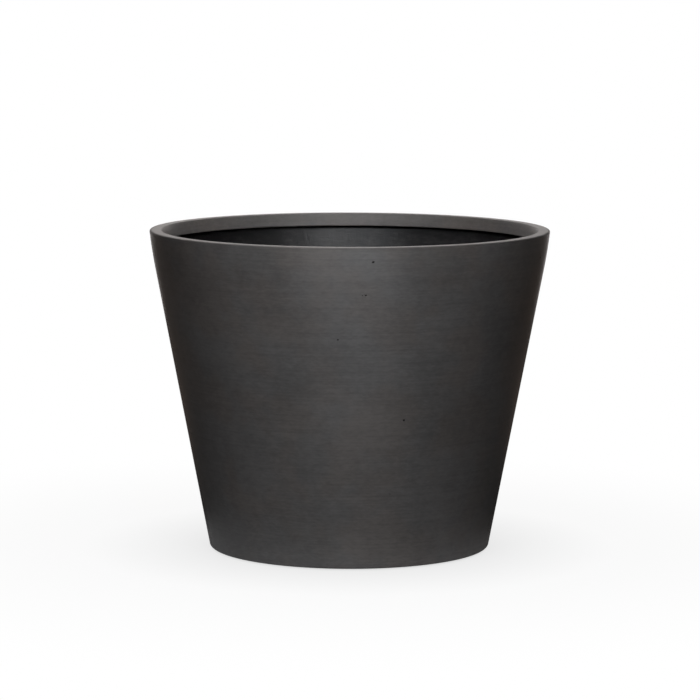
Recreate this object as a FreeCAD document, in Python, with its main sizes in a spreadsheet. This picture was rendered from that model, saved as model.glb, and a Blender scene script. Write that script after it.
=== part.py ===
# Round tapered floor planter: a cast fibre-clay shell with an undercut rim, a black lining
# laid up inside it, a rubber plug in the drain hole and four rubber pads under the foot ring.
# Millimetres, +Z up, origin on the floor under the middle of the planter.

import FreeCAD
import Part
import Sketcher
import math
import os

# Driving dimensions, each one a cell of the sheet
DIMENSIONS = {
    # Outer shell
    "shell_height": 400.0,  # foot ring to the top of the rim
    "base_diameter": 351.5,  # before the bottom edge is rounded
    "rim_diameter": 501.6,  # before the top edge is rounded
    "wall_thickness": 5.0,
    "ease_depth": 47.0,  # the wall eases upright over this depth below the top
    "ease_inset": 1.85,  # and that draws the rim in from the straight wall by this
    "rim_width": 15.0,
    "rim_depth": 16.5,
    "rim_outer_round": 1.8,
    "rim_inner_round": 1.2,
    "lip_round": 1.2,
    "base_thickness": 6.0,
    "base_round": 4.0,
    "ring_width": 30.0,  # the foot ring that the base stands on
    "ring_depth": 4.0,
    "ring_round": 1.0,
    "recess_round": 2.0,
    # Inner lining
    "lining_thickness": 3.0,
    "floor_round": 12.0,  # corner between the lining's wall and its floor
    # Drain hole and plug
    "drain_diameter": 25.0,
    "plug_clearance": 0.1,  # all round the plug's ribs
    "plug_head_diameter": 40.0,
    "plug_head_height": 5.0,
    "plug_head_round": 3.0,
    "plug_reach": 2.0,  # how far the shank stands out below the base
    "plug_lead_in": 1.2,
    "plug_core_diameter": 13.0,
    "plug_core_depth": 9.0,
    "rib_height": 0.8,
    "rib_drop": 2.6,  # from the head down to the first rib
    "rib_pitch": 3.4,
    # Foot pads
    "pad_thickness": 1.5,
    "pad_margin": 5.5,  # from a pad to the edges of the foot ring's flat
    "pad_round": 0.6,
}
RIB_COUNT = 2
PAD_COUNT = 4
FIRST_PAD_ANGLE = 45.0

# Heights and radii that pieces share, as formulas of the cells
FOOT = "dims.pad_thickness"
RECESS_ROOF = f"{FOOT} + dims.ring_depth"
SHELL_FLOOR = f"{RECESS_ROOF} + dims.base_thickness"
LINING_FLOOR = f"{SHELL_FLOOR} + dims.lining_thickness"
RIM_TOP = f"{FOOT} + dims.shell_height"
LIP_LEVEL = f"{RIM_TOP} - dims.rim_depth"
EASE_LEVEL = f"{RIM_TOP} - dims.ease_depth"
BASE_RADIUS = "dims.base_diameter / 2"
RIM_RADIUS = "dims.rim_diameter / 2"
RING_RADIUS = f"{BASE_RADIUS} - dims.ring_width"
LINING_INSET = "dims.wall_thickness + dims.lining_thickness"
OUTER_FLOOR_ROUND = "dims.floor_round + dims.lining_thickness"
SHANK_RADIUS = "dims.drain_diameter / 2 - dims.plug_clearance - dims.rib_height"
SHANK_END = f"{RECESS_ROOF} - dims.plug_reach"
FLAT_WIDTH = "dims.ring_width - dims.base_round - dims.ring_round"
PAD_RADIUS = f"({FLAT_WIDTH}) / 2 - dims.pad_margin"
PAD_CIRCLE_RADIUS = f"{RING_RADIUS} + dims.ring_round + ({FLAT_WIDTH}) / 2"

# How a sketch names the points of a line or circle, its own axes and its origin
START, END, CENTRE = range(1, 4)
LEVEL_AXIS, UPRIGHT_AXIS = range(-1, -3, -1)
ORIGIN = (LEVEL_AXIS, START)

TOLERANCE = 1e-4

doc = FreeCAD.newDocument("planter")
sheet = doc.addObject("Spreadsheet::Sheet", "dims")


def fill_sheet():
    """One row for each driving dimension: its name, then its value under that alias."""
    for row, (alias, number) in enumerate(DIMENSIONS.items(), start=1):
        sheet.set(f"A{row}", alias)
        sheet.set(f"B{row}", str(number))
        sheet.setAlias(f"B{row}", alias)
    doc.recompute()


def value(formula):
    return float(sheet.evalExpression(formula))


class Section:
    """A sketch on one of its body's origin planes, dimensioned from the sheet."""

    def __init__(self, body, name, plane_role):
        plane = next(f for f in body.Origin.OriginFeatures if f.Role == plane_role)
        self.sketch = body.newObject("Sketcher::SketchObject", name)
        self.sketch.AttachmentSupport = [(plane, "")]
        self.sketch.MapMode = "FlatFace"

    def point(self, place):
        return self.sketch.addGeometry(Part.Point(FreeCAD.Vector(*place, 0)), True)

    def line(self, start, end, construction=False):
        segment = Part.LineSegment(FreeCAD.Vector(*start, 0), FreeCAD.Vector(*end, 0))
        return self.sketch.addGeometry(segment, construction)

    def arc(self, start, through, end):
        places = [FreeCAD.Vector(*place, 0) for place in (start, through, end)]
        return self.sketch.addGeometry(Part.Arc(*places))

    def circle(self, centre, radius):
        middle = FreeCAD.Vector(*centre, 0)
        return self.sketch.addGeometry(Part.Circle(middle, FreeCAD.Vector(0, 0, 1), radius))

    def chain(self, corners):
        """Straight lines from corner to corner."""
        lines = [self.line(*pair) for pair in zip(corners, corners[1:])]
        for before, after in zip(lines, lines[1:]):
            self.hold("Coincident", before, END, after, START)
        return lines

    def hold(self, kind, *where):
        self.sketch.addConstraint(Sketcher.Constraint(kind, *where))

    def level(self, *lines):
        for line in lines:
            self.hold("Horizontal", line)

    def upright(self, *lines):
        for line in lines:
            self.hold("Vertical", line)

    def on_axis(self, line):
        for end in (START, END):
            self.hold("PointOnObject", line, end, UPRIGHT_AXIS)

    def size(self, name, formula, kind, *where):
        """A named dimension that follows a formula of the sheet's cells."""
        constraint = Sketcher.Constraint(kind, *where, value(formula))
        self.sketch.renameConstraint(self.sketch.addConstraint(constraint), name)
        self.sketch.setExpression(f"Constraints.{name}", formula)

    def corner(self, line):
        """Radius and height at the start of a line, once the sketch is solved."""
        place = self.sketch.getPoint(line, START)
        return place.x, place.y


def new_body(label):
    body = doc.addObject("PartDesign::Body", label)
    body.Label = label
    return body


def turn(body, name, section):
    """Turn a half section right round the upright axis."""
    turned = body.newObject("PartDesign::Revolution", name)
    turned.Profile = section.sketch
    turned.ReferenceAxis = (section.sketch, ["V_Axis"])
    turned.Angle = 360
    doc.recompute()
    return turned


def ring_edges(feature, radius, height):
    """Names of the round edges at a radius and a height."""
    names = []
    for number, edge in enumerate(feature.Shape.Edges, start=1):
        if not isinstance(edge.Curve, Part.Circle):
            continue
        if math.hypot(edge.Curve.Radius - radius, edge.Curve.Center.z - height) < TOLERANCE:
            names.append(f"Edge{number}")
    return names


def round_edge(body, name, corner, formula):
    """Round the edge that a corner of the section makes."""
    base = body.Tip
    fillet = body.newObject("PartDesign::Fillet", name)
    fillet.Base = (base, ring_edges(base, *corner))
    fillet.setExpression("Radius", formula)
    doc.recompute()


def drill(body):
    """The drain hole, through everything on the axis."""
    before = body.Shape.Volume
    section = Section(body, "DrainCircle", "XY_Plane")
    hole = section.circle((0, 0), value("dims.drain_diameter / 2"))
    section.hold("Coincident", hole, CENTRE, *ORIGIN)
    section.size("diameter", "dims.drain_diameter", "Diameter", hole)
    pocket = body.newObject("PartDesign::Pocket", "DrainHole")
    pocket.Profile = section.sketch
    pocket.SideType = "Symmetric"
    pocket.Type = "ThroughAll"
    doc.recompute()
    if body.Shape.Volume > before - TOLERANCE:
        raise RuntimeError(f"the drain hole cuts nothing from {body.Label}")


def wall_lean():
    """How far the straight wall leans out from upright, in radians."""
    reach = value(f"{RIM_RADIUS} - {BASE_RADIUS}")
    height = value("dims.shell_height")
    turn_in = math.asin(value("dims.ease_inset") / math.hypot(reach, height))
    return math.atan2(reach, height) + turn_in


def wall_point(level, inset="0"):
    """A point at a level, inset square to the outside of the straight wall."""
    lean = wall_lean()
    rise = value(f"{level} - {FOOT}")
    return value(BASE_RADIUS) + rise * math.tan(lean) - value(inset) / math.cos(lean), value(level)


def hold_wall(section, wall, rim):
    """Stand the straight wall on the base, leaning so that it passes outside the rim's edge."""
    section.size("foot", FOOT, "DistanceY", *ORIGIN, wall, START)
    section.size("base_radius", BASE_RADIUS, "DistanceX", *ORIGIN, wall, START)
    section.size("rim_radius", RIM_RADIUS, "DistanceX", *ORIGIN, *rim)
    section.size("height", "dims.shell_height", "DistanceY", wall, START, *rim)
    section.size("ease_depth", "dims.ease_depth", "DistanceY", wall, END, *rim)
    section.size("ease_inset", "dims.ease_inset", "Distance", *rim, wall)


def make_outer_shell():
    """The cast face of the planter: wall, rim with its undercut lip, base and foot ring."""
    body = new_body("outer_shell")
    section = Section(body, "ShellProfile", "XZ_Plane")
    rim_edge = (value(RIM_RADIUS), value(RIM_TOP))
    ease_start = wall_point(EASE_LEVEL)
    ease_middle = wall_point(f"{RIM_TOP} - dims.ease_depth / 2", "dims.ease_inset / 4")
    lip_radius = value(f"{RIM_RADIUS} - dims.rim_width") - value("dims.rim_depth") * math.tan(wall_lean())

    wall = section.line(wall_point(FOOT), ease_start)
    easing = section.arc(ease_start, ease_middle, rim_edge)
    top, lip_face, lip_under, inner_wall, floor, middle, roof, ring_wall, foot = section.chain([
        rim_edge,
        (value(f"{RIM_RADIUS} - dims.rim_width"), value(RIM_TOP)),
        (lip_radius, value(LIP_LEVEL)),
        wall_point(LIP_LEVEL, "dims.wall_thickness"),
        wall_point(SHELL_FLOOR, "dims.wall_thickness"),
        (0, value(SHELL_FLOOR)),
        (0, value(RECESS_ROOF)),
        (value(RING_RADIUS), value(RECESS_ROOF)),
        (value(RING_RADIUS), value(FOOT)),
        wall_point(FOOT),
    ])
    section.hold("Coincident", foot, END, wall, START)
    section.hold("Tangent", wall, END, easing, START)
    section.hold("Coincident", easing, END, top, START)
    section.level(top, lip_under, floor, roof, foot)
    section.upright(ring_wall)
    section.on_axis(middle)
    section.hold("Parallel", lip_face, wall)
    section.hold("Parallel", inner_wall, wall)
    hold_wall(section, wall, (top, START))
    section.size("rim_width", "dims.rim_width", "DistanceX", top, END, top, START)
    section.size("rim_depth", "dims.rim_depth", "DistanceY", lip_face, END, lip_face, START)
    section.size("wall", "dims.wall_thickness", "Distance", inner_wall, START, wall)
    section.size("base", "dims.base_thickness", "DistanceY", middle, END, middle, START)
    section.size("ring_width", "dims.ring_width", "DistanceX", foot, START, foot, END)
    section.size("ring_depth", "dims.ring_depth", "DistanceY", ring_wall, END, ring_wall, START)

    turn(body, "Wall", section)
    round_edge(body, "RimOuterEdge", section.corner(top), "dims.rim_outer_round")
    round_edge(body, "RimInnerEdge", section.corner(lip_face), "dims.rim_inner_round")
    round_edge(body, "LipEdge", section.corner(lip_under), "dims.lip_round")
    round_edge(body, "FloorCorner", section.corner(floor), OUTER_FLOOR_ROUND)
    round_edge(body, "BottomEdge", section.corner(wall), "dims.base_round")
    round_edge(body, "FootRingEdge", section.corner(foot), "dims.ring_round")
    round_edge(body, "RecessCorner", section.corner(ring_wall), "dims.recess_round")
    drill(body)
    return body


def make_inner_lining():
    """The black laminate inside, from under the lip down the wall and over the floor."""
    body = new_body("inner_lining")
    section = Section(body, "LiningProfile", "XZ_Plane")
    wall = section.line(wall_point(FOOT), wall_point(EASE_LEVEL), construction=True)
    rim = section.point((value(RIM_RADIUS), value(RIM_TOP)))
    back, under, middle, floor, face, top = section.chain([
        wall_point(LIP_LEVEL, "dims.wall_thickness"),
        wall_point(SHELL_FLOOR, "dims.wall_thickness"),
        (0, value(SHELL_FLOOR)),
        (0, value(LINING_FLOOR)),
        wall_point(LINING_FLOOR, LINING_INSET),
        wall_point(LIP_LEVEL, LINING_INSET),
        wall_point(LIP_LEVEL, "dims.wall_thickness"),
    ])
    section.hold("Coincident", top, END, back, START)
    section.level(under, floor, top)
    section.on_axis(middle)
    section.hold("Parallel", back, wall)
    section.hold("Parallel", face, wall)
    hold_wall(section, wall, (rim, START))
    section.size("lip", "dims.rim_depth", "DistanceY", back, START, rim, START)
    section.size("shell_wall", "dims.wall_thickness", "Distance", back, START, wall)
    section.size("shell_floor", SHELL_FLOOR, "DistanceY", *ORIGIN, middle, START)
    section.size("wall", "dims.lining_thickness", "Distance", face, END, back)
    section.size("floor", "dims.lining_thickness", "DistanceY", middle, START, middle, END)

    turn(body, "Laminate", section)
    round_edge(body, "OuterCorner", section.corner(under), OUTER_FLOOR_ROUND)
    round_edge(body, "InnerCorner", section.corner(face), "dims.floor_round")
    drill(body)
    return body


def make_drain_plug():
    """A moulded rubber stopper: rounded head on the lining's floor, hollow shank, sealing ribs."""
    body = new_body("drain_plug")
    section = Section(body, "PlugProfile", "XZ_Plane")
    head_radius = value("dims.plug_head_diameter / 2")
    head_top = value(f"{LINING_FLOOR} + dims.plug_head_height")
    core_radius = value("dims.plug_core_diameter / 2")
    core_top = value(f"{SHANK_END} + dims.plug_core_depth")
    lead_radius = value(f"{SHANK_RADIUS} - dims.plug_lead_in")
    lead_level = value(f"{SHANK_END} + dims.plug_lead_in")

    top, side, seat, shank, lead_in, end, core_wall, core_roof, middle = section.chain([
        (0, head_top),
        (head_radius, head_top),
        (head_radius, value(LINING_FLOOR)),
        (value(SHANK_RADIUS), value(LINING_FLOOR)),
        (value(SHANK_RADIUS), lead_level),
        (lead_radius, value(SHANK_END)),
        (core_radius, value(SHANK_END)),
        (core_radius, core_top),
        (0, core_top),
        (0, head_top),
    ])
    section.hold("Coincident", middle, END, top, START)
    section.level(top, seat, end, core_roof)
    section.upright(side, shank, core_wall)
    section.on_axis(middle)
    section.size("seat", LINING_FLOOR, "DistanceY", *ORIGIN, side, END)
    section.size("head_radius", "dims.plug_head_diameter / 2", "DistanceX", *ORIGIN, side, END)
    section.size("head_height", "dims.plug_head_height", "DistanceY", side, END, side, START)
    section.size("shank_radius", SHANK_RADIUS, "DistanceX", *ORIGIN, shank, START)
    section.size("end", SHANK_END, "DistanceY", *ORIGIN, end, START)
    section.size("lead_in", "dims.plug_lead_in", "DistanceX", lead_in, END, lead_in, START)
    section.size("lead_in_height", "dims.plug_lead_in", "DistanceY", lead_in, END, lead_in, START)
    section.size("core_radius", "dims.plug_core_diameter / 2", "DistanceX", *ORIGIN, core_wall, START)
    section.size("core_depth", "dims.plug_core_depth", "DistanceY", core_wall, START, core_wall, END)
    turn(body, "Stopper", section)
    round_edge(body, "HeadEdge", section.corner(side), "dims.plug_head_round")

    rib_level = f"{LINING_FLOOR} - dims.rib_drop"
    rib_section = Section(body, "RibProfile", "XZ_Plane")
    rib = rib_section.circle((value(SHANK_RADIUS), value(rib_level)), value("dims.rib_height"))
    rib_section.size("shank_radius", SHANK_RADIUS, "DistanceX", *ORIGIN, rib, CENTRE)
    rib_section.size("level", rib_level, "DistanceY", *ORIGIN, rib, CENTRE)
    rib_section.size("height", "dims.rib_height", "Radius", rib)
    first_rib = turn(body, "FirstRib", rib_section)

    ribs = body.newObject("PartDesign::LinearPattern", "Ribs")
    ribs.Originals = [first_rib]
    upright = next(f for f in body.Origin.OriginFeatures if f.Role == "Z_Axis")
    ribs.Direction = (upright, [""])
    ribs.Reversed = True
    ribs.Mode = "Spacing"
    ribs.setExpression("Offset", "dims.rib_pitch")
    ribs.Occurrences = RIB_COUNT
    body.Tip = ribs
    doc.recompute()
    return body


def make_foot_pad(number):
    """A rubber disc stuck to the flat of the foot ring, its lower edge rounded."""
    body = new_body(f"foot_pad_{number}")
    section = Section(body, "PadCircle", "XY_Plane")
    outline = section.circle((0, 0), value(PAD_RADIUS))
    section.hold("Coincident", outline, CENTRE, *ORIGIN)
    section.size("radius", PAD_RADIUS, "Radius", outline)
    disc = body.newObject("PartDesign::Pad", "Disc")
    disc.Profile = section.sketch
    disc.setExpression("Length", "dims.pad_thickness")
    doc.recompute()
    round_edge(body, "LowerEdge", (value(PAD_RADIUS), 0), "dims.pad_round")

    angle = FIRST_PAD_ANGLE + (number - 1) * 360 / PAD_COUNT
    body.setExpression("Placement.Base.x", f"({PAD_CIRCLE_RADIUS}) * cos({angle} deg)")
    body.setExpression("Placement.Base.y", f"({PAD_CIRCLE_RADIUS}) * sin({angle} deg)")
    doc.recompute()
    return body


def check(bodies):
    """Stop before anything is written if a feature failed or a piece isn't one good solid."""
    for item in doc.Objects:
        if "Invalid" in item.State or "Error" in item.State:
            raise RuntimeError(f"{item.Label} has failed: {item.State}")
    for body in bodies:
        shape = body.Shape
        if shape.isNull() or not shape.isValid() or len(shape.Solids) != 1:
            raise RuntimeError(f"{body.Label} isn't one valid solid")


def main():
    fill_sheet()
    bodies = [make_outer_shell(), make_inner_lining(), make_drain_plug()]
    for number in range(1, PAD_COUNT + 1):
        bodies.append(make_foot_pad(number))
    check(bodies)
    os.makedirs("parts", exist_ok=True)
    for body in bodies:
        body.Shape.exportStep(f"parts/{body.Label}.step")
        print(f"{body.Label}: {body.Shape.Volume / 1000:.1f} cm3")


main()
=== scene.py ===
import bmesh
import bpy
import math
import random
from mathutils import Matrix, Vector, noise
from mathutils.bvhtree import BVHTree


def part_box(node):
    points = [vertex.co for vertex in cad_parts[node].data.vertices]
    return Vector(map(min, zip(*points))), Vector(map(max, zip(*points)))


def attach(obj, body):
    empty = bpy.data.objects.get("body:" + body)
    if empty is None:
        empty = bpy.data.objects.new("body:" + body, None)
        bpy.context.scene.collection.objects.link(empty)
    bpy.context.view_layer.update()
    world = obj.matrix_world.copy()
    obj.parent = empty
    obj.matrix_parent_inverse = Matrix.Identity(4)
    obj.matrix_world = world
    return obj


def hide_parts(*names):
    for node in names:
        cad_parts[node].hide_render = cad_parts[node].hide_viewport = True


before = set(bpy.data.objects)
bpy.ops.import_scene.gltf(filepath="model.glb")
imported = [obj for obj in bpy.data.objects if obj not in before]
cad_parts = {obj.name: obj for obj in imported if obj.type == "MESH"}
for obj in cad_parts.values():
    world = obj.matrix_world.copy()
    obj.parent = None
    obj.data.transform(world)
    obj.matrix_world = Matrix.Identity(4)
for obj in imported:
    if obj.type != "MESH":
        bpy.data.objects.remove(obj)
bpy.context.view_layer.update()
print("frame loaded:", ", ".join(sorted(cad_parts)))

mm = 0.001
fullTurn = 2 * math.pi
mergeGap = 1e-6  # corners closer than this are one


# shader kit: a wired value that does maths, and the finish that its nodes live in
class Wired:
    def __init__(self, finish, socket):
        self.finish = finish
        self.socket = socket

    def maths(self, operation, first, second):
        return self.finish.add("ShaderNodeMath", {"operation": operation}, {0: first, 1: second})

    def __add__(self, other):
        return self.maths("ADD", self, other)

    def __radd__(self, other):
        return self.maths("ADD", other, self)

    def __mul__(self, other):
        return self.maths("MULTIPLY", self, other)

    def __rmul__(self, other):
        return self.maths("MULTIPLY", other, self)

    def __pow__(self, other):
        return self.maths("POWER", self, other)

    def __rpow__(self, other):
        return self.maths("POWER", other, self)


class Finish:
    def __init__(self, holder):
        self.tree = holder.node_tree
        self.tree.nodes.clear()

    def add(self, kind, settings, sockets, out=0):
        node = self.tree.nodes.new(kind)
        for name, value in settings.items():
            setattr(node, name, value)
        for name, value in sockets.items():
            if isinstance(value, Wired):
                self.tree.links.new(value.socket, node.inputs[name])
            else:
                node.inputs[name].default_value = value
        return Wired(self, node.outputs[out]) if node.outputs else None

    def place(self):
        return self.add("ShaderNodeTexCoord", {}, {}, "Object")

    def stretched(self, place, scale):
        return self.add("ShaderNodeMapping", {}, {"Vector": place, "Scale": scale})

    def noise(self, place, scale, detail, rough=0.55):
        sockets = {"Vector": place, "Scale": scale, "Detail": detail, "Roughness": rough}
        return self.add("ShaderNodeTexNoise", {}, sockets)

    def specks(self, place, scale):
        sockets = {"Vector": place, "Scale": scale}
        return self.add("ShaderNodeTexVoronoi", {"feature": "F1"}, sockets, "Distance")

    def painted(self, name):
        return self.add("ShaderNodeAttribute", {"attribute_name": name}, {}, "Fac")

    def fade(self, value, low, high):  # 0 at low, 1 at high
        sockets = {"Value": value, "From Min": low, "From Max": high}
        return self.add("ShaderNodeMapRange", {"interpolation_type": "SMOOTHSTEP"}, sockets)

    def blend(self, amount, first, second):
        return self.add("ShaderNodeMix", {"data_type": "RGBA"}, {0: amount, 6: first, 7: second}, 2)

    def part(self, place, axis):
        return self.add("ShaderNodeSeparateXYZ", {}, {0: place}, axis)

    def away(self, place, aside=0.0):  # distance from the planter's axis, or from a line beside it
        return ((self.part(place, "X") + aside) ** 2 + self.part(place, "Y") ** 2) ** 0.5

    def seen(self):  # 1 where the camera looks straight at it
        return self.add("ShaderNodeLightPath", {}, {}, "Is Camera Ray")

    def bump(self, height, depth):
        return self.add("ShaderNodeBump", {}, {"Strength": 1.0, "Distance": depth, "Height": height})

    def surface(self, sockets):
        shader = self.add("ShaderNodeBsdfPrincipled", {}, sockets)
        self.add("ShaderNodeOutputMaterial", {}, {"Surface": shader})


def newMaterial(name):
    material = bpy.data.materials.new(name)
    material.use_nodes = True
    return material, Finish(material)


def rgb(red, green, blue):
    return (red, green, blue, 1.0)


# mesh kit
def mergeAndTurnOut(bm):
    bmesh.ops.remove_doubles(bm, verts=bm.verts, dist=mergeGap)
    bmesh.ops.recalc_face_normals(bm, faces=bm.faces)


def finishPiece(bm, name, body, node, material):
    mergeAndTurnOut(bm)
    mesh = bpy.data.meshes.new(name)
    bm.to_mesh(mesh)
    bm.free()
    mesh.shade_smooth()
    mesh.materials.append(material)
    piece = bpy.data.objects.new(name, mesh)
    bpy.context.scene.collection.objects.link(piece)
    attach(piece, body)
    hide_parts(node)


def halfSection(corners, closed=True):
    # an outline in the XZ plane from (radius, height, rounding) corners, open where it ends on the axis
    bm = bmesh.new()
    verts = [bm.verts.new((radius, 0, height)) for radius, height, _ in corners]
    for first, second in zip(verts, verts[1:]):
        bm.edges.new((first, second))
    if closed:
        bm.edges.new((verts[-1], verts[0]))
    for vert, (_, _, rounding) in zip(verts, corners):
        if rounding:
            roundCorner(bm, vert, rounding)
    return bm


def roundCorner(bm, vert, radius, segments=8):
    arms = [(edge.other_vert(vert).co - vert.co).normalized() for edge in vert.link_edges]
    setBack = radius / math.tan(arms[0].angle(arms[1]) / 2)
    bmesh.ops.bevel(bm, geom=[vert], offset=setBack, offset_type="OFFSET", affect="VERTICES",
                    segments=segments, profile=0.5, material=-1, clamp_overlap=False)


def cutLong(bm, edges, longest):
    # rings close enough that smooth shading stays flat on the flats
    for edge in edges:
        cuts = math.ceil(edge.calc_length() / longest) - 1
        if cuts > 0:
            bmesh.ops.subdivide_edges(bm, edges=[edge], cuts=cuts)


def spinRound(bm, steps):
    bmesh.ops.spin(bm, geom=bm.verts[:] + bm.edges[:], cent=(0, 0, 0), axis=(0, 0, 1),
                   angle=fullTurn, steps=steps, use_merge=True, use_duplicate=False)


# outer shell
shell = {
    "baseRadius": 175.75 * mm,
    "rimRadius": 250.8 * mm,
    "easeDepth": 47 * mm,  # wall eases upright over this depth
    "easeInset": 1.85 * mm,
    "wall": 5 * mm,
    "rimWidth": 15 * mm,
    "rimDepth": 16.5 * mm,
    "rimOuterRound": 1.8 * mm,
    "rimInnerRound": 1.2 * mm,
    "lipRound": 1.2 * mm,
    "baseThickness": 6 * mm,
    "baseRound": 4 * mm,
    "ringWidth": 30 * mm,
    "ringDepth": 4 * mm,
    "ringRound": 1 * mm,
    "recessRound": 2 * mm,
    "floorRound": 15 * mm,
    "drainRadius": 12.5 * mm,
    "row": 5 * mm,
    "hiddenRow": 40 * mm,
    "steps": 320,
}
shellLow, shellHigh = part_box("outer_shell")
shellFoot = shellLow.z
shellTop = shellHigh.z
shellRoof = shellFoot + shell["ringDepth"]
shellFloor = shellRoof + shell["baseThickness"]
lipLevel = shellTop - shell["rimDepth"]
rimInner = shell["rimRadius"] - shell["rimWidth"]
rimReach = Vector((shell["rimRadius"] - shell["baseRadius"], shellTop - shellFoot))
wallLean = math.atan2(rimReach.x, rimReach.y) + math.asin(shell["easeInset"] / rimReach.length)

# pinholes of the casting: degrees round from the front, height and radius in mm
pinholes = {
    "seen": [
        (6.46, 384.2, 1.35), (4.62, 344.0, 1.1), (3.63, 344.0, 0.7), (-3.46, 289.5, 1.05),
        (18.1, 188.7, 1.35), (14.68, 96.6, 0.7), (-34.0, 29.3, 0.7),
    ],
    "others": 16,
    "otherAngles": (62, 298),
    "otherHeights": (25, 380),
    "otherRadii": (0.6, 1.35),
    "seed": 11,
    "apron": 0.55,  # flat ring round a hole, in radii
    "wobble": (0.92, 1.08),  # so that no hole is quite round
    "sides": 16,
    # inward and downward in radii, ring by ring
    "rings": [(0.1, -0.04), (0.12, -0.22), (0.16, -0.5), (0.3, -0.4)],
}


def wallRadius(height, inset=0.0):
    return shell["baseRadius"] + (height - shellFoot) * math.tan(wallLean) - inset / math.cos(wallLean)


def makeShell(material):
    ringInner = shell["baseRadius"] - shell["ringWidth"]
    # the easing turns about the point where the wall and the rim's own slope cross
    easeHeight = shellTop - shell["easeDepth"]
    easeStart = Vector((wallRadius(easeHeight), easeHeight))
    chord = Vector((shell["rimRadius"], shellTop)) - easeStart
    turnIn = wallLean - math.atan2(chord.x, chord.y)
    setBack = chord.length / 2 / math.cos(turnIn)
    easeCorner = easeStart + setBack * Vector((math.sin(wallLean), math.cos(wallLean)))
    room = 1.5 * shell["rimOuterRound"]  # for the rim's own round
    easeRound = (setBack - room) / math.tan(turnIn)
    bm = halfSection([
        (shell["baseRadius"], shellFoot, shell["baseRound"]),
        (easeCorner.x, easeCorner.y, easeRound),
        (shell["rimRadius"], shellTop, shell["rimOuterRound"]),
        (rimInner, shellTop, shell["rimInnerRound"]),
        (rimInner - shell["rimDepth"] * math.tan(wallLean), lipLevel, shell["lipRound"]),
        (wallRadius(lipLevel, shell["wall"]), lipLevel, 0),
        (wallRadius(shellFloor, shell["wall"]), shellFloor, shell["floorRound"]),
        (shell["drainRadius"], shellFloor, 0),
        (shell["drainRadius"], shellRoof, 0),
        (ringInner, shellRoof, shell["recessRound"]),
        (ringInner, shellFoot, shell["ringRound"]),
    ])
    shown = [edge for edge in bm.edges if isShown(edge)]
    hidden = [edge for edge in bm.edges if not isShown(edge)]
    cutLong(bm, shown, shell["row"])
    cutLong(bm, hidden, shell["hiddenRow"])
    spinRound(bm, shell["steps"])
    mergeAndTurnOut(bm)
    sinkPinholes(bm)
    finishPiece(bm, "shellFace", "planter", "outer_shell", material)


def isShown(edge):
    # all but the wall and floor behind the lining
    middle = (edge.verts[0].co + edge.verts[1].co) / 2
    behindWall = middle.x < wallRadius(middle.z, 0.5 * shell["wall"])
    return not (behindWall and shellRoof < middle.z < lipLevel)


def sinkPinholes(bm):
    dice = random.Random(pinholes["seed"])
    holes = list(pinholes["seen"])
    for _ in range(pinholes["others"]):
        angle = dice.uniform(*pinholes["otherAngles"])
        height = dice.uniform(*pinholes["otherHeights"])
        holes.append((angle, height, dice.uniform(*pinholes["otherRadii"])))
    # the pinholes' insides, which the shell's finish darkens with painted shade
    hollow = bm.verts.layers.float.new("hollow")
    surface = BVHTree.FromBMesh(bm)
    spots = [wallSpot(surface, angle, height * mm) for angle, height, _ in holes]
    for spot in spots:
        nearestCorner(bm, spot).co = spot  # slides along the wall
    for spot, (_, _, radius) in zip(spots, holes):
        sinkPinhole(bm, nearestCorner(bm, spot), radius * mm, hollow, dice)


def wallSpot(surface, angle, height):
    front = Matrix.Rotation(math.radians(angle), 3, "Z") @ Vector((0, -1, 0))
    return surface.find_nearest(front * wallRadius(height) + Vector((0, 0, height)))[0]


def nearestCorner(bm, spot):
    return min(bm.verts, key=lambda vert: (vert.co - spot).length_squared)


def sinkPinhole(bm, vert, radius, hollow, dice):
    centre = vert.co.copy()
    outer = (1 + pinholes["apron"]) * radius
    cut = bmesh.ops.bevel(bm, geom=[vert], offset=outer, offset_type="OFFSET", affect="VERTICES",
                          segments=1, profile=0.5, material=-1, clamp_overlap=False)
    face = cut["faces"][0]
    bmesh.ops.subdivide_edges(bm, edges=face.edges[:], cuts=pinholes["sides"] // 4 - 1)  # from four sides
    for corner in face.verts:
        corner.co = centre + (corner.co - centre).normalized() * outer * dice.uniform(*pinholes["wobble"])
    bmesh.ops.inset_individual(bm, faces=[face], thickness=pinholes["apron"] * radius, depth=0)
    for inward, downward in pinholes["rings"]:
        bmesh.ops.inset_individual(bm, faces=[face], thickness=inward * radius, depth=downward * radius)
        for corner in face.verts:
            corner[hollow] = 1.0


# the shell's finish: noise scales, and dark and pale ends of each tint
clay = {
    "clouds": 9,
    "tints": 16,
    "strokes": (6, 6, 410),  # sanded round and round
    "flecks": (150, 150, 410),
    "mottle": (75, 75, 110),
    "grey": (rgb(0.067, 0.064, 0.062), rgb(0.1065, 0.1015, 0.0985)),
    "brown": (rgb(0.07, 0.063, 0.059), rgb(0.11, 0.0995, 0.0925)),
    "darkToPale": (0.33, 0.67),  # noise values that the fade runs between
    "greyToBrown": (0.4, 0.62),
    # painted shade, darkening the pinholes' hollows and the round of the rim's outer edge
    "paintedShade": rgb(0.022, 0.02, 0.019),
    "edgePaintedShade": 0.34,  # painted shade on the round of the rim's outer edge, dimming the highlight it catches
    "roughness": 0.38,
    "cloudRoughness": 0.1,
    "rimFaceRoughness": 0.1,  # more on the rim's inside and its outer edge, sanded less smooth
    "rimEdgeRoughness": 0.16,
    "relief": 0.1 * mm,
}


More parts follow.
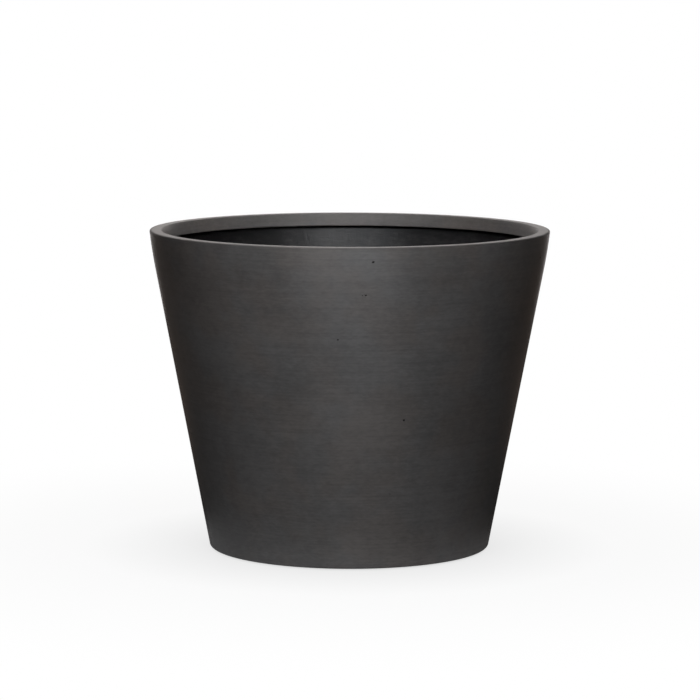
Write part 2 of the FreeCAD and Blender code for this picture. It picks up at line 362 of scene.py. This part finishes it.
def fibreClay():
    material, m = newMaterial("fibreClay")
    place = m.place()
    clouds = m.noise(place, clay["clouds"], 4)
    tint = m.noise(place, clay["tints"], 2)
    strokes = m.noise(m.stretched(place, clay["strokes"]), 1, 2)
    flecks = m.noise(m.stretched(place, clay["flecks"]), 1, 2)
    mottle = m.noise(m.stretched(place, clay["mottle"]), 1, 2)
    mixed = 0.36 * clouds + 0.19 * strokes + 0.25 * flecks + 0.2 * mottle
    shade = m.fade(mixed, *clay["darkToPale"])
    grey = m.blend(shade, *clay["grey"])
    brown = m.blend(shade, *clay["brown"])
    sanded = m.blend(m.fade(tint, *clay["greyToBrown"]), grey, brown)
    # painted shade in the pinholes' hollows, where little light reaches
    pitsShaded = m.blend(m.painted("hollow"), sanded, clay["paintedShade"])
    rimFace, rimEdge = rimMasks(m, place)
    rough = clay["rimFaceRoughness"] * rimFace + clay["rimEdgeRoughness"] * rimEdge
    m.surface({
        # painted shade over the round of the rim's outer edge, dimming its highlight
        "Base Color": m.blend(clay["edgePaintedShade"] * rimEdge, pitsShaded, clay["paintedShade"]),
        "Roughness": clay["roughness"] + clay["cloudRoughness"] * clouds + rough,
        "Normal": m.bump(0.6 * strokes + 0.4 * flecks, clay["relief"]),
    })
    return material


def rimMasks(m, place):
    # 1 on the rim's inner face, and 1 on the round of its outer edge
    height = m.part(place, "Z")
    away = m.away(place)
    rimOuter = shell["rimRadius"]
    aboveLip = m.fade(height, lipLevel - 2 * mm, lipLevel)
    inside = m.fade(away, rimInner + 1.2 * mm, rimInner + 0.2 * mm)
    nearTop = m.fade(height, shellTop - 2.4 * mm, shellTop - 1.2 * mm)
    outside = m.fade(away, rimOuter - 3.2 * mm, rimOuter - 1.6 * mm)
    return aboveLip * inside, nearTop * outside


makeShell(fibreClay())
print("shell spun, with its pinholes")


# inner lining
lining = {
    "thickness": 3 * mm,
    "floorRound": 12 * mm,
    "row": 6 * mm,
    "steps": 224,
    "ripple": 0.7 * mm,  # laid up by hand, so never quite even
    "rippleSize": 38 * mm,
    "rippleFrom": 40 * mm,  # above the floor, which the plug sits on
    "clouds": 13,
    "mat": (60, 60, 190),
    "matGrain": 0.65,
    "strands": (260, 260, 34),
    "black": rgb(0.0065, 0.0065, 0.007),
    "dusty": rgb(0.0185, 0.018, 0.0185),
    "blackToDusty": (0.46, 0.62),
    "roughness": 0.4,
    "cloudRoughness": 0.1,
    "sheen": 0.36,
    "relief": 0.75 * mm,
}


def makeLining(material):
    inset = shell["wall"] + lining["thickness"]
    floor = shellFloor + lining["thickness"]
    bm = halfSection([
        (wallRadius(lipLevel, shell["wall"]), lipLevel, 0),
        (wallRadius(lipLevel, inset), lipLevel, 0),
        (wallRadius(floor, inset), floor, lining["floorRound"]),
        (shell["drainRadius"], floor, 0),
        (shell["drainRadius"], shellFloor, 0),
        (wallRadius(shellFloor, shell["wall"]), shellFloor, shell["floorRound"]),
    ])
    cutLong(bm, bm.edges[:], lining["row"])
    spinRound(bm, lining["steps"])
    for vert in bm.verts:
        rise = vert.co.z - floor
        middle = wallRadius(vert.co.z, shell["wall"] + lining["thickness"] / 2)
        if rise > lining["rippleFrom"] and vert.co.xy.length < middle:
            lump = 0.5 + 0.5 * noise.noise(vert.co / lining["rippleSize"])
            vert.co -= Vector((vert.co.x, vert.co.y, 0)).normalized() * lump * lining["ripple"]
    finishPiece(bm, "liningSkin", "planter", "inner_lining", material)


def blackLaminate():
    material, m = newMaterial("blackLaminate")
    place = m.place()
    clouds = m.noise(place, lining["clouds"], 4)
    mat = m.noise(m.stretched(place, lining["mat"]), 1, 4, lining["matGrain"])
    strands = m.noise(m.stretched(place, lining["strands"]), 1, 2)
    dust = m.fade(0.5 * clouds + 0.5 * mat, *lining["blackToDusty"])
    m.surface({
        "Base Color": m.blend(dust, lining["black"], lining["dusty"]),
        "Roughness": lining["roughness"] + lining["cloudRoughness"] * clouds,
        "Specular IOR Level": lining["sheen"],
        "Normal": m.bump(0.6 * mat + 0.4 * strands, lining["relief"]),
    })
    return material


makeLining(blackLaminate())
print("lining laid")


# drain plug
plug = {
    "headRadius": 20 * mm,
    "headHeight": 5 * mm,
    "headRound": 3 * mm,
    "headUnderRound": 0.4 * mm,
    "shankRadius": 11.6 * mm,
    "ribHeight": 0.8 * mm,
    "ribDrops": (2.6 * mm, 6 * mm),
    "reach": 2 * mm,
    "leadIn": 1.2 * mm,
    "endRound": 0.3 * mm,
    "coreRadius": 6.5 * mm,
    "coreDepth": 9 * mm,
    "coreRound": 0.5 * mm,
    "steps": 72,
}


def makePlug(material):
    seat = shellFloor + lining["thickness"]
    end = shellRoof - plug["reach"]
    core = end + plug["coreDepth"]
    shank = [(plug["shankRadius"], seat, 0)]
    for drop in plug["ribDrops"]:
        middle = seat - drop
        shank.append((plug["shankRadius"], middle + plug["ribHeight"], 0))
        for angle in (45, 0, -45):
            outward = plug["ribHeight"] * math.cos(math.radians(angle))
            upward = plug["ribHeight"] * math.sin(math.radians(angle))
            shank.append((plug["shankRadius"] + outward, middle + upward, 0))
        shank.append((plug["shankRadius"], middle - plug["ribHeight"], 0))
    bm = halfSection([
        (0, seat + plug["headHeight"], 0),
        (plug["headRadius"], seat + plug["headHeight"], plug["headRound"]),
        (plug["headRadius"], seat, plug["headUnderRound"]),
    ] + shank + [
        (plug["shankRadius"], end + plug["leadIn"], 0),
        (plug["shankRadius"] - plug["leadIn"], end, plug["endRound"]),
        (plug["coreRadius"], end, plug["endRound"]),
        (plug["coreRadius"], core, plug["coreRound"]),
        (0, core, 0),
    ], closed=False)
    spinRound(bm, plug["steps"])
    finishPiece(bm, "plugRubber", "plug", "drain_plug", material)


# the rubber of the plug and of the pads, which are a little paler
rubber = {
    "bloom": 120,
    "pores": 1500,
    "plug": (rgb(0.016, 0.016, 0.016), rgb(0.024, 0.023, 0.023)),
    "pad": (rgb(0.021, 0.02, 0.02), rgb(0.031, 0.03, 0.029)),
    "darkToPale": (0.4, 0.65),
    "poreToSkin": (0.1, 0.45),
    "roughness": 0.6,
    "bloomRoughness": 0.2,
    "relief": 0.03 * mm,
}


def blackRubber(name, tints):
    material, m = newMaterial(name)
    place = m.place()
    bloom = m.noise(place, rubber["bloom"], 4)
    pores = m.fade(m.specks(place, rubber["pores"]), *rubber["poreToSkin"])
    m.surface({
        "Base Color": m.blend(m.fade(bloom, *rubber["darkToPale"]), *tints),
        "Roughness": rubber["roughness"] + rubber["bloomRoughness"] * bloom,
        "Normal": m.bump(pores, rubber["relief"]),
    })
    return material


makePlug(blackRubber("plugBlack", rubber["plug"]))
print("plug turned")


# foot pads
pad = {
    "radius": 7 * mm,
    "round": 0.6 * mm,
    "upperRound": 0.1 * mm,
    "steps": 48,
}


def makePad(node, material):
    low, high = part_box(node)
    bm = halfSection([
        (0, low.z, 0),
        (pad["radius"], low.z, pad["round"]),
        (pad["radius"], high.z, pad["upperRound"]),
        (0, high.z, 0),
    ], closed=False)
    spinRound(bm, pad["steps"])
    bmesh.ops.translate(bm, verts=bm.verts, vec=((low.x + high.x) / 2, (low.y + high.y) / 2, 0))
    finishPiece(bm, "footPad" + node[-1], "planter", node, material)


padBlack = blackRubber("padBlack", rubber["pad"])
for padNode in sorted(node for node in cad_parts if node.startswith("foot_pad")):
    makePad(padNode, padBlack)
print("pads stuck on")


# camera, from the outline of the planter in a 700 pixel square
photoCamera = {
    "place": (0.6 * mm, -4391 * mm, 793.5 * mm),
    "pitch": -7.07,
    "roll": 0.13,
    "focal": 3515.7 / 700,  # in picture widths
    "sensor": 36.0,
}


def makeCamera(setup):
    data = bpy.data.cameras.new("photoCamera")
    data.sensor_fit = "HORIZONTAL"
    data.sensor_width = setup["sensor"]
    data.lens = setup["focal"] * setup["sensor"]
    camera = bpy.data.objects.new("photoCamera", data)
    bpy.context.scene.collection.objects.link(camera)
    pitch = Matrix.Rotation(math.radians(90 + setup["pitch"]), 4, "X")
    roll = Matrix.Rotation(math.radians(setup["roll"]), 4, "Z")
    camera.matrix_world = Matrix.Translation(setup["place"]) @ pitch @ roll
    bpy.context.scene.camera = camera


makeCamera(photoCamera)
print("camera set")


# studio
lamps = {
    "key": {
        "place": (-0.06, -0.9, 0.95), "aim": (0, 0, 0.25), "size": (0.75, 0.2), "spread": 180,
        "watts": 6.7, "tint": (0.93, 0.96, 1)},
    "brim": {
        "place": (0.25, -0.8, 0.66), "aim": (-0.02, 0.1, 0.425), "size": (0.3, 0.08), "spread": 26,
        "watts": 0.06, "tint": (1, 1, 1)},
    "mouth": {
        "place": (-0.06, -0.05, 0.9), "aim": (-0.06, 0, 0.4), "size": (0.3, 0.3), "spread": 180,
        "watts": 2.1, "tint": (1, 0.97, 0.96)},
    "card": {
        "place": (0, -1.2, 0.05), "aim": (0, 0, 0.25), "size": (1.2, 0.06), "spread": 180,
        "watts": 3, "tint": (0.94, 0.96, 1)},
    "backdrop": {
        "place": (0, 2.6, 0.6), "aim": (0, 0, 0.25), "size": (3.6, 1.0), "spread": 180,
        "watts": 17, "tint": (1, 0.96, 0.94)},
    "rear": {
        "place": (0, 1.2, 0.32), "aim": (0, 0, 0.25), "size": (1.2, 0.4), "spread": 180,
        "watts": 3, "tint": (1, 0.95, 0.93)},
}
worldTint = (0.014, 0.008, 0.005)
paper = {
    "radius": 40,
    "sides": 96,
    "aside": 0.02,
    "seen": rgb(0.9, 0.9, 0.9),
    # what the paper throws back near the planter, further off and behind it
    "near": rgb(0.9, 0.9, 0.9),
    "further": rgb(0.12, 0.12, 0.12),
    "behind": rgb(0.44, 0.35, 0.29),
    "nearToFurther": (0.2, 0.28),
    "frontToBehind": (0.2, 0.8),
    "shade": rgb(0.75, 0.75, 0.75),  # right at the planter's foot
    "shadeReach": 0.16,
    "shadeSamples": 16,
    "glow": 0.93,  # share of what the camera sees that glows by itself
    "farGlow": 0.07,  # added far off, where nothing casts a shadow
    "glowToFar": (0.3, 0.8),
}


def makeLamp(name, setup):
    data = bpy.data.lights.new(name, "AREA")
    data.shape = "RECTANGLE"
    data.size, data.size_y = setup["size"]
    data.spread = math.radians(setup["spread"])
    data.energy = setup["watts"]
    data.color = setup["tint"]
    lamp = bpy.data.objects.new(name, data)
    bpy.context.scene.collection.objects.link(lamp)
    lamp.location = setup["place"]
    lamp.rotation_euler = (Vector(setup["aim"]) - lamp.location).to_track_quat("-Z", "Y").to_euler()
    lamp.visible_camera = False


def makeWorld(tint):
    world = bpy.data.worlds.new("studio")
    world.use_nodes = True
    bpy.context.scene.world = world
    w = Finish(world)
    sky = w.blend(w.seen(), rgb(*tint), rgb(1, 1, 1))
    background = w.add("ShaderNodeBackground", {}, {"Color": sky})
    w.add("ShaderNodeOutputWorld", {}, {"Surface": background})


def makeFloor():
    bm = bmesh.new()
    bmesh.ops.create_circle(bm, cap_ends=True, segments=paper["sides"], radius=paper["radius"])
    mesh = bpy.data.meshes.new("floor")
    bm.to_mesh(mesh)
    bm.free()
    floor = bpy.data.objects.new("floor", mesh)
    bpy.context.scene.collection.objects.link(floor)
    material, m = newMaterial("paleFloor")
    place = m.place()
    away = m.away(place, paper["aside"])
    seen = m.seen()
    # the camera sees white paper all over, but it throws much light back only near the planter and behind
    front = m.blend(m.fade(away, *paper["nearToFurther"]), paper["near"], paper["further"])
    bounce = m.blend(m.fade(m.part(place, "Y"), *paper["frontToBehind"]), front, paper["behind"])
    matt = m.add("ShaderNodeBsdfPrincipled", {}, {
        "Base Color": m.blend(seen, bounce, paper["seen"]),
        "Roughness": 1.0,
        "Specular IOR Level": 0.0,
    })
    shadow = {"samples": paper["shadeSamples"]}
    openness = m.add("ShaderNodeAmbientOcclusion", shadow, {"Distance": paper["shadeReach"]}, "AO")
    glow = m.blend(openness, paper["shade"], rgb(1, 1, 1))
    white = m.add("ShaderNodeEmission", {}, {"Color": glow})
    share = seen * (paper["glow"] + paper["farGlow"] * m.fade(away, *paper["glowToFar"]))
    mixed = m.add("ShaderNodeMixShader", {}, {0: share, 1: matt, 2: white})
    m.add("ShaderNodeOutputMaterial", {}, {"Surface": mixed})
    mesh.materials.append(material)


for lampName, lampSetup in lamps.items():
    makeLamp(lampName, lampSetup)
makeWorld(worldTint)
makeFloor()
bpy.context.scene.view_settings.view_transform = "Standard"
print("studio lit")
